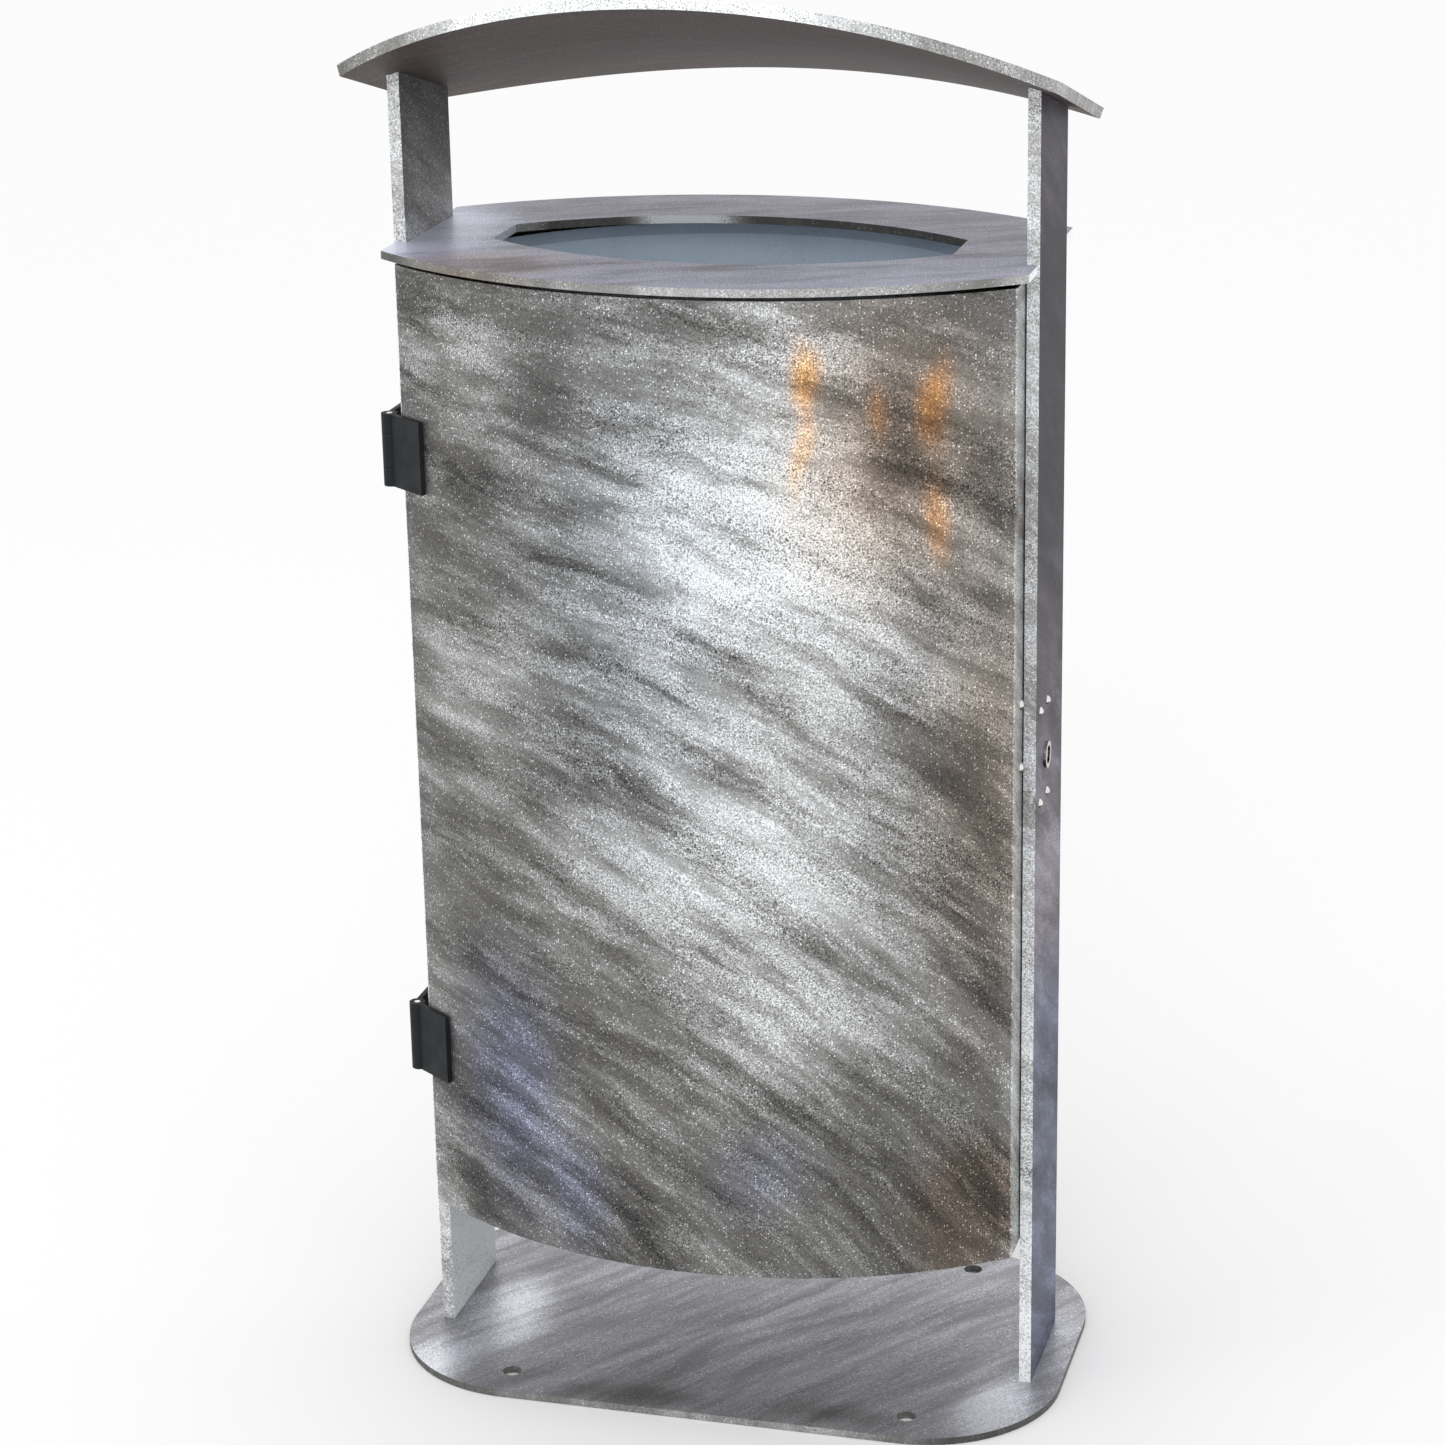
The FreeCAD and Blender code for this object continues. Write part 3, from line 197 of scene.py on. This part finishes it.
class Zinc(Nodes):
    """Hot-dip zinc: run marks in the drain direction, soft clouds and fine crystal sparkle painted
    as glints.

    The level is the surface's mean reflectance, painted light and shade included where a surface
    has them; everything else swings about it.
    """

    # Patterns per metre, coarse to fine.
    CLOUDS, BROAD_MARKS, NARROW_MARKS, CRYSTALS, GRAIN = 6.0, 7.0, 12.0, 520.0, 720.0
    # Swings of the level, as shares of marks and, for the grain, of the grain-and-glint strength.
    CLOUD_SWING, BROAD_SWING, GRAIN_SWING = 0.45, 0.85, 0.85
    BARE_LOSS, FROST_GAIN = 0.95, 0.55
    # From a dull warm grey to bright metal that is slightly blue.
    COLOURS = ((0.0, (0.012, 0.012, 0.013)), (0.12, (0.124, 0.120, 0.115)),
               (0.32, (0.322, 0.321, 0.313)), (0.62, (0.608, 0.622, 0.634)),
               (1.0, (0.95, 0.98, 1.0)))

    def __init__(self, name, lean=0.45, flat=False, stretch=3.8, foot_lean=None):
        """Marks lie along the surface, tilted by lean; a flat plate's are seen from above."""
        super().__init__(name)
        self.bent = self.warped(3.5, 0.05)
        x, y, z = self.split(self.warped(9.0, 0.022))
        if foot_lean is not None:
            lean = self.span(z, LEAN_FOOT, LEAN_HEAD, foot_lean, lean)
        if flat:
            across = self.math("MULTIPLY_ADD", x, lean, y)
            parts = {"X": x, "Y": self.math("MULTIPLY", across, stretch), "Z": z}
        else:
            across = self.math("MULTIPLY_ADD", self.math("ADD", x, y), lean, z)
            parts = {"X": x, "Y": y, "Z": self.math("MULTIPLY", across, stretch)}
        self.run = self.add("ShaderNodeCombineXYZ", parts).outputs[0]

    def painted_crystal_glints(self, tone, grain_and_glint):
        """The tone with painted glints: bright specks where a crystal happens to face the light."""
        cells = self.add("ShaderNodeTexVoronoi", {"Vector": self.where, "Scale": self.CRYSTALS})
        chosen = self.split(cells.outputs["Color"])[X]
        bright_cells = self.span(chosen, 0.80, 0.88)
        core = self.span(cells.outputs["Distance"], 0.42, 0.22)
        glint = self.math("MULTIPLY", bright_cells, core)
        lift = self.math("MULTIPLY_ADD", tone, 1.2 * grain_and_glint, 0.15 * grain_and_glint)
        return self.math("MULTIPLY_ADD", glint, lift, tone)

    def finish(self, level, tint=None, marks=0.38, grain_and_glint=1.0, rough=0.42, metallic=0.75,
               specular=0.5):
        clouds = self.noise(self.bent, self.CLOUDS, 4.0, 0.6)
        broad = self.noise(self.run, self.BROAD_MARKS, 6.0, 0.62)
        narrow = self.noise(self.run, self.NARROW_MARKS, 7.0, 0.66)
        grain = self.noise(self.where, self.GRAIN, 2.0, 0.8)
        # Frost gathers more readily where the surface is bright anyway.
        lifted = self.math("MULTIPLY_ADD", level, 0.22, narrow)
        frost = self.span(lifted, 0.50, 0.66)
        swing = self.swing(clouds, self.CLOUD_SWING * marks)
        swing = self.math("ADD", swing, self.swing(broad, self.BROAD_SWING * marks, edge=0.16))
        frosted = self.span(frost, 0.0, 1.0, -self.BARE_LOSS * marks, self.FROST_GAIN * marks)
        swing = self.math("ADD", swing, frosted)
        rasp = self.math("MULTIPLY", self.swing(grain, self.GRAIN_SWING * grain_and_glint, edge=0.17),
                         self.span(frost, 0.0, 1.0, 0.30, 1.0))
        tone = self.math("MULTIPLY", level, self.math("ADD", self.math("ADD", swing, rasp), 1.0))
        tone = self.painted_crystal_glints(tone, grain_and_glint)
        colour = self.ramp(tone, *self.COLOURS)
        if tint is not None:
            colour = tint(colour)
        smooth = self.span(tone, 0.1, 0.8, rough + 0.06, rough - 0.10)
        self.set(Base_Color=colour, Metallic=metallic, Roughness=smooth,
                 Specular_IOR_Level=specular)
        relief = self.math("MULTIPLY_ADD", broad, 0.5, self.math("MULTIPLY", narrow, 0.4))
        relief = self.math("MULTIPLY_ADD", grain, 0.22, relief)
        self.bump(relief, strength=0.30, distance=0.7 * MM)
        return self.material

    def tinted(self, masks):
        """A function that multiplies a colour by tints where their masks are."""
        def tint(colour):
            for mask, by in masks:
                colour = self.mix(mask, colour, self.mix(1.0, colour, by, "MULTIPLY"))
            return colour
        return tint


def door_zinc():
    """The door's drain marks lie nearly level at its top and steeper towards its foot."""
    zinc = Zinc("zinc_door", lean=0.24, foot_lean=0.78)
    place = zinc.warped(7.0, 0.05)
    level = zinc.patches(place, 0.19, (
        # A painted highlight: the bright band, a little to the lock side of the middle.
        on_wall(0.055, 0.65, 0.26, 0.50, 0.24),
        on_wall(0.055, 0.78, 0.13, 0.16, 0.27),
        on_wall(0.075, 0.93, 0.10, 0.08, 0.18),
        on_wall(0.12, 0.73, 0.09, 0.13, 0.14),
        on_wall(0.06, 0.47, 0.16, 0.13, 0.17),
        on_wall(0.10, 0.36, 0.14, 0.09, 0.16),
        # Frosted places towards the hinges.
        on_wall(-0.18, 0.63, 0.09, 0.12, 0.14),
        on_wall(-0.10, 0.47, 0.08, 0.08, 0.12),
        on_wall(-0.19, 0.89, 0.10, 0.08, 0.16),
        on_wall(-0.24, 0.17, 0.05, 0.10, 0.16),
        # Dull places.
        on_wall(0.17, 0.85, 0.05, 0.10, -0.13),
        on_wall(-0.11, 0.89, 0.06, 0.08, -0.06),
        on_wall(0.20, 0.57, 0.06, 0.06, -0.12),
        on_wall(-0.11, 0.35, 0.11, 0.10, -0.04),
        on_wall(0.21, 0.18, 0.14, 0.12, -0.07)))
    side = zinc.split(zinc.where)[X]
    hinge_edge_highlight = zinc.span(side, -DOOR_HALF_WIDTH + 1.6 * MM, -DOOR_HALF_WIDTH + 0.8 * MM)
    lock_side_face_light = zinc.math("MULTIPLY", zinc.facing(X),
                          zinc.span(side, DOOR_TURN, DOOR_TURN + 4.0 * MM))
    outer = zinc.span(zinc.split(zinc.normal)[Y], 0.0, -0.2)
    level = zinc.mix(outer, grey(0.33), level)
    # Painted highlight along the hinge edge; painted light on the lock side's turned-in face.
    level = zinc.mix(hinge_edge_highlight, level, grey(0.85))
    level = zinc.mix(lock_side_face_light, level, grey(0.42))
    # Small orange glows painted on the door's face.
    painted_orange_glows = zinc.patches(place, 0.0, (
        on_wall(0.098, 0.895, 0.020, 0.045, 1.0),
        on_wall(0.100, 0.835, 0.014, 0.060, 0.5),
        on_wall(0.198, 0.875, 0.020, 0.060, 1.0),
        on_wall(0.200, 0.780, 0.016, 0.060, 0.7),
        on_wall(0.155, 0.870, 0.014, 0.040, 0.6)))
    warm = zinc.patches(place, 0.0, (
        on_wall(0.17, 0.84, 0.13, 0.20, 1.0),
        on_wall(0.23, 0.55, 0.08, 0.30, 0.7),
        on_wall(0.22, 0.19, 0.08, 0.10, 1.6)))
    # A painted reflection of the sky, pale blue, on the door's face.
    painted_sky_reflection = zinc.patches(place, 0.0, (on_wall(-0.05, 0.72, 0.16, 0.36, 0.55),))
    cool = zinc.patches(place, 0.0, (
        on_wall(-0.16, 0.27, 0.08, 0.18, 1.0),
        on_wall(-0.10, 0.19, 0.05, 0.09, 0.8),
        on_wall(0.06, 0.23, 0.06, 0.06, 0.5)))
    masks = [zinc.math("MULTIPLY", mask, outer) for mask in (painted_sky_reflection, warm, cool, painted_orange_glows)]
    tint = zinc.tinted(zip(masks, (PALE_BLUE, BROWN, MIST, ORANGE)))
    return zinc.finish(level, tint, marks=0.40, grain_and_glint=1.35)


def plain_zinc(name, level, flat=False, **settings):
    """Zinc of one mean level, for parts that are mostly out of sight."""
    return Zinc(name, flat=flat).finish(level, **settings)


# Levels along an upright, as (share of UPRIGHT_REACH, level): painted light and shade that change
# with height.
LEFT_INNER_LIGHT_AND_SHADE = ((0.0, 0.98), (0.13, 0.95), (0.20, 0.26), (0.80, 0.34), (0.845, 0.40),
                   (0.87, 0.20), (0.92, 0.08), (1.0, 0.06))
LEFT_FRONT_LIGHT_AND_SHADE = ((0.0, 0.55), (0.15, 0.45), (0.5, 0.52), (1.0, 0.57))
RIGHT_OUTER_LIGHT_AND_SHADE = ((0.0, 0.16), (0.22, 0.17), (0.33, 0.18), (0.40, 0.22), (0.50, 0.12),
                    (0.58, 0.08), (0.66, 0.04), (0.82, 0.035), (0.90, 0.08), (1.0, 0.10))
RIGHT_FRONT_LIGHT_AND_SHADE = ((0.0, 0.78), (0.20, 0.70), (0.48, 0.46), (0.60, 0.46), (0.80, 0.58), (1.0, 0.60))


def upright_zinc(name, broad_light_and_shade, front_light_and_shade, cool_below=None):
    """A flat bar with painted light and shade: bright front edge, a broad +X face that changes with
    height, others plain.

    With a height for cool_below, the broad face is blue under it and violet-brown above.
    """
    zinc = Zinc(name, lean=0.5, stretch=3.5)
    height = zinc.split(zinc.bent)[Z]
    share = zinc.span(height, 0.0, UPRIGHT_REACH)
    side = zinc.ramp(share, *broad_light_and_shade)
    front = zinc.ramp(share, *front_light_and_shade)
    front_face = zinc.facing(Y, -1.0)
    broad = zinc.facing(X)
    level = zinc.mix(front_face, zinc.mix(broad, grey(0.34), side), front)
    tint = None
    if cool_below is not None:
        cool = zinc.span(height, cool_below + 0.04, cool_below - 0.04)
        cool = zinc.math("MULTIPLY", cool, broad)
        warm = zinc.math("SUBTRACT", broad, cool)
        tint = zinc.tinted(((cool, BLUE), (warm, DUSK)))
    return zinc.finish(level, tint, marks=0.30, grain_and_glint=0.9, metallic=0.0, specular=0.06)


def roof_zinc():
    """Painted shade on the brown-grey underside, with marks along the roof; pale top; painted light
    on the cut edge, brightest along its middle.
    """
    zinc = Zinc("zinc_roof", lean=0.02, flat=True, stretch=9.0)
    x = zinc.split(zinc.bent)[X]
    # Painted light along the cut edge, brightest along its middle.
    edge = zinc.ramp(zinc.span(x, -PLATE_REACH, PLATE_REACH),
                     (0.0, 0.20), (0.12, 0.40), (0.22, 0.80), (0.62, 0.80), (0.78, 0.42),
                     (1.0, 0.36))
    # Painted shade on the underside, tinted umber.
    shaded_underside = zinc.facing(Z, -1.0)
    level = zinc.mix(zinc.facing(Z), zinc.mix(shaded_underside, edge, grey(0.055)), grey(0.36))
    return zinc.finish(level, zinc.tinted(((shaded_underside, UMBER),)), marks=0.22, grain_and_glint=0.9, rough=0.5,
                       metallic=0.3, specular=0.2)


def top_zinc():
    """The top plate: violet-grey face with a brown mark.

    Its rim changes from end to end. The opening's wall carries painted shade, with painted light on
    one spot and on the end that faces +X.
    """
    zinc = Zinc("zinc_top", lean=-0.45, flat=True, stretch=4.0)
    along = zinc.split(zinc.bent)
    x, y = along[X], along[Y]
    front_lift = zinc.span(y, 0.13, -0.16, 0.30, 0.56)
    face = zinc.patches(zinc.bent, front_lift, (
        on_plate(-0.25, -0.02, 0.10, 0.16, 0.55),
        on_plate(-0.14, -0.13, 0.07, 0.05, -0.18),
        on_plate(0.16, -0.02, 0.08, 0.20, 0.04)))
    rim = zinc.ramp(zinc.span(x, -TOP_REACH, TOP_REACH),
                    (0.0, 0.22), (0.30, 0.24), (0.55, 0.42), (0.80, 0.36), (1.0, 0.22))
    # Painted shade on the opening's wall, with painted light on one spot and on the end that faces
    # +X.
    opening_wall_light_and_shade = zinc.patches(zinc.bent, 0.10, (on_plate(-0.055, 0.09, 0.06, 0.2, 1.3),))
    opening_wall_light_and_shade = zinc.mix(zinc.facing(X), opening_wall_light_and_shade, grey(1.0))
    outside = zinc.span(y, TOP_RIM_MIDDLE - 10.0 * MM, TOP_RIM_MIDDLE + 10.0 * MM, 1.0, 0.0)
    edge = zinc.mix(outside, opening_wall_light_and_shade, rim)
    level = zinc.mix(zinc.facing(Z), edge, face)
    brown = zinc.patches(zinc.bent, 0.0, (on_plate(-0.15, -0.12, 0.10, 0.07, 1.0),))
    tint = zinc.tinted(((zinc.facing(Z), VIOLET), (brown, BROWN)))
    return zinc.finish(level, tint, marks=0.20, grain_and_glint=0.7, rough=0.46, metallic=0.45)


def base_zinc():
    """The base plate: grey with slanting marks, bright frost by each upright's foot."""
    zinc = Zinc("zinc_base", lean=-1.3, flat=True, stretch=3.2)
    level = zinc.patches(zinc.bent, 0.38, (
        on_plate(-0.25, -0.14, 0.05, 0.09, 0.42),
        on_plate(-0.21, -0.04, 0.06, 0.12, 0.40),
        on_plate(0.245, -0.12, 0.05, 0.10, 0.42),
        on_plate(-0.05, -0.155, 0.12, 0.03, -0.16),
        on_plate(0.12, -0.15, 0.08, 0.03, -0.16),
        on_plate(0.27, 0.05, 0.04, 0.12, 0.10)))
    x = zinc.split(zinc.bent)[X]
    edge = zinc.ramp(zinc.span(x, -PLATE_REACH, PLATE_REACH),
                     (0.0, 0.10), (0.12, 0.16), (0.30, 0.30), (0.70, 0.40), (0.88, 0.10),
                     (1.0, 0.12))
    tint = zinc.tinted(((zinc.facing(Z), FAINT_VIOLET),))
    return zinc.finish(zinc.mix(zinc.facing(Z), edge, level), tint, marks=0.20, grain_and_glint=0.6)


def liner_zinc():
    """Continuously galvanised sheet, smooth and bluish, with painted shade outside and on the
    folded rim.
    """
    zinc = Zinc("zinc_liner", stretch=0.35)
    height = zinc.split(zinc.where)[Z]
    lip = zinc.span(height, LINER_LIP, LINER_LIP + 0.5 * MM)
    # Painted shade on the folded rim.
    inside = zinc.mix(lip, grey(0.93), grey(0.66))
    # The liner stands round the Z axis, so its outside is where the normal points away from it.
    flat = zinc.add("ShaderNodeVectorMath", {0: zinc.where, 1: (1.0, 1.0, 0.0)},
                    operation="MULTIPLY").outputs[0]
    away = zinc.add("ShaderNodeVectorMath", {0: flat, 1: zinc.normal},
                    operation="DOT_PRODUCT").outputs["Value"]
    outside = zinc.span(away, -5.0 * MM, 5.0 * MM)
    # Painted shade on the liner's outside.
    level = zinc.mix(outside, inside, grey(0.44))
    tint = zinc.tinted(((1.0, SHEET_BLUE),))
    return zinc.finish(level, tint, marks=0.06, grain_and_glint=0.10, rough=0.5, metallic=0.3)


# ---- plastic, rubber and fasteners ---------------------------------------------------------------

def black_plastic():
    """Glass-filled nylon: fine moulded texture, slightly worn and greyer in patches."""
    nylon = Nodes("hinge_nylon")
    grain = nylon.noise(nylon.where, 1500.0, 3.0, 0.6)
    wear = nylon.noise(nylon.where, 60.0, 4.0, 0.6)
    colour = nylon.ramp(wear, (0.30, (0.006, 0.008, 0.010)), (0.75, (0.012, 0.015, 0.018)))
    nylon.set(Base_Color=colour, Roughness=nylon.span(wear, 0.3, 0.7, 0.62, 0.50),
              Specular_IOR_Level=0.22)
    nylon.bump(grain, strength=0.30, distance=0.12 * MM)
    return nylon.material


def plain_steel(name, colour, rough, line_scale=900.0):
    """Turned or pressed steel with fine lines and faint smears, and painted shade on its
    undersides.
    """
    steel = Nodes(name)
    lines = steel.noise(steel.add("ShaderNodeMapping", {"Vector": steel.where,
                                                        "Scale": (0.15, 1.0, 1.0)}).outputs[0],
                        line_scale, 3.0, 0.6)
    smear = steel.noise(steel.where, 90.0, 4.0, 0.6)
    low = tuple(0.72 * level for level in colour)
    blend = steel.math("MULTIPLY_ADD", lines, 0.5, steel.math("MULTIPLY", smear, 0.5))
    # Painted shade on the undersides.
    shaded_underside = steel.span(steel.split(steel.normal)[Z], -0.03, -0.22)
    clean = steel.ramp(blend, (0.3, low), (0.7, colour))
    steel.set(Base_Color=steel.mix(shaded_underside, clean, (0.09, 0.075, 0.06)), Metallic=1.0,
              Roughness=steel.span(smear, 0.3, 0.7, rough + 0.08, rough - 0.06))
    steel.bump(lines, strength=0.15, distance=0.05 * MM)
    return steel.material


def black_rubber():
    """Moulded rubber, greyer and duller where dust sits on it."""
    rubber = Nodes("buffer_rubber")
    dust = rubber.noise(rubber.where, 140.0, 5.0, 0.65)
    rubber.set(Base_Color=rubber.ramp(dust, (0.35, 0.018), (0.75, 0.06)),
               Roughness=rubber.span(dust, 0.3, 0.7, 0.65, 0.85))
    rubber.bump(rubber.noise(rubber.where, 900.0), strength=0.2, distance=0.1 * MM)
    return rubber.material


# ---- finishes of the CAD nodes -------------------------------------------------------------------

STAINLESS = (0.94, 0.94, 0.92)
SATIN = (0.58, 0.58, 0.56)

finishes = {
    "door": door_zinc(),
    "panel": plain_zinc("zinc_panel", 0.36, marks=0.24),
    "hidden": plain_zinc("zinc_hidden", 0.26),
    "shelf": plain_zinc("zinc_shelf", 0.28, flat=True),
    "left": upright_zinc("zinc_left_upright", LEFT_INNER_LIGHT_AND_SHADE, LEFT_FRONT_LIGHT_AND_SHADE),
    "right": upright_zinc("zinc_right_upright", RIGHT_OUTER_LIGHT_AND_SHADE, RIGHT_FRONT_LIGHT_AND_SHADE, cool_below=0.36),
    "top": top_zinc(),
    "roof": roof_zinc(),
    "base": base_zinc(),
    "liner": liner_zinc(),
    "plastic": black_plastic(),
    "steel": plain_steel("stainless_fastener", STAINLESS, 0.22),
    "bracket": plain_steel("bracket_steel", SATIN, 0.34, 500.0),
    "lock": plain_steel("nickel_lock", SATIN, 0.22, 1200.0),
    "rubber": black_rubber(),
}
FINISH_OF = {
    "base_plate": "base", "upright_left": "left", "upright_right": "right",
    "roof_plate": "roof", "top_plate": "top", "rear_panel": "panel", "door_skin": "door",
    "rear_bottom_rib": "hidden", "rear_top_rib": "hidden", "door_bottom_rib": "hidden",
    "door_top_rib": "hidden", "liner_shelf": "shelf", "door_stop_tabs": "hidden",
    "door_buffers": "rubber", "lock_case": "bracket", "strike_bracket": "bracket",
    "lock_ring_nut": "bracket", "lock_cylinder": "lock", "lock_plug": "lock",
}
EDGE_BREAK = {
    "base": 0.8 * MM, "left": 0.6 * MM, "right": 0.6 * MM, "top": 0.6 * MM, "roof": 0.6 * MM,
    "door": 0.4 * MM, "panel": 0.4 * MM, "plastic": 0.9 * MM, "lock": 0.3 * MM,
}
SHARP_ANGLE = math.radians(40)


def finish_of(node):
    if "leaf" in node:
        return "plastic"
    if node.startswith("liner_") and node != "liner_shelf":
        return "liner"
    return FINISH_OF.get(node, "steel")


def break_edges(thing, width):
    """Rounds a node's sharp edges a little, as galvanising or moulding leaves them."""
    bevel = thing.modifiers.new("edge_break", "BEVEL")
    bevel.width = width
    bevel.segments = 2
    bevel.limit_method = "ANGLE"
    bevel.angle_limit = SHARP_ANGLE
    bevel.harden_normals = True


for node, thing in nodes.items():
    finish_name = finish_of(node)
    thing.data.materials.clear()
    thing.data.materials.append(finishes[finish_name])
    if finish_name in EDGE_BREAK:
        break_edges(thing, EDGE_BREAK[finish_name])


# ---- stage, light and camera ---------------------------------------------------------------------

FLOOR_SIZE = 80.0
FLOOR_PAINT = (0.965, 0.965, 0.965, 1.0)
WHITE = (1.0, 1.0, 1.0, 1.0)

CAMERA_PLACE = Vector((0.78476, -2.87102, 1.55732))
CAMERA_YAW, CAMERA_PITCH, CAMERA_ROLL = (math.radians(angle) for angle in (15.53, -18.56, -1.11))
CAMERA_SENSOR, CAMERA_LENS = 36.0, 94.16


def floor():
    """A pale floor that reaches past the top of the picture."""
    bpy.ops.mesh.primitive_plane_add(size=FLOOR_SIZE, location=(0, 0, -0.5 * MM))
    thing = bpy.context.object
    thing.name = "floor"
    paint = Nodes("floor_paint")
    paint.set(Base_Color=FLOOR_PAINT, Roughness=1.0, Specular_IOR_Level=0.0)
    thing.data.materials.append(paint.material)
    return thing


def lamp(name, place, aim, size, power):
    data = bpy.data.lights.new(name, "AREA")
    data.shape = "RECTANGLE"
    data.size, data.size_y = size
    data.energy = power
    thing = bpy.data.objects.new(name, data)
    thing.location = place
    thing.rotation_euler = (Vector(aim) - Vector(place)).to_track_quat("-Z", "Y").to_euler()
    bpy.context.scene.collection.objects.link(thing)


def camera():
    """At eye height, three metres in front and a little to the lock side, looking down."""
    ahead = Vector((-math.sin(CAMERA_YAW) * math.cos(CAMERA_PITCH),
                    math.cos(CAMERA_YAW) * math.cos(CAMERA_PITCH), math.sin(CAMERA_PITCH)))
    level = Vector((math.cos(CAMERA_YAW), math.sin(CAMERA_YAW), 0.0))
    above = level.cross(ahead)
    right = level * math.cos(CAMERA_ROLL) + above * math.sin(CAMERA_ROLL)
    up = above * math.cos(CAMERA_ROLL) - level * math.sin(CAMERA_ROLL)
    data = bpy.data.cameras.new("camera")
    data.sensor_width = CAMERA_SENSOR
    data.lens = CAMERA_LENS
    data.clip_end = 100.0
    thing = bpy.data.objects.new("camera", data)
    turned = Matrix((right, up, -ahead)).transposed()
    thing.matrix_world = Matrix.Translation(CAMERA_PLACE) @ turned.to_4x4()
    bpy.context.scene.collection.objects.link(thing)
    bpy.context.scene.camera = thing


def world():
    """Soft white surroundings at a plain level, seen as the background too."""
    scene = bpy.context.scene
    scene.world = bpy.data.worlds.new("studio")
    scene.world.use_nodes = True
    around = scene.world.node_tree.nodes["Background"]
    around.inputs["Color"].default_value = WHITE
    around.inputs["Strength"].default_value = 1.0


floor()
world()
lamp("key", place=(0.3, -2.6, 2.4), aim=(0, 0, 0.9), size=(1.4, 1.0), power=12)
lamp("side", place=(-2.2, -1.6, 1.8), aim=(0, 0, 0.6), size=(1.0, 2.0), power=5)
camera()
bpy.context.scene.view_settings.view_transform = "Standard"
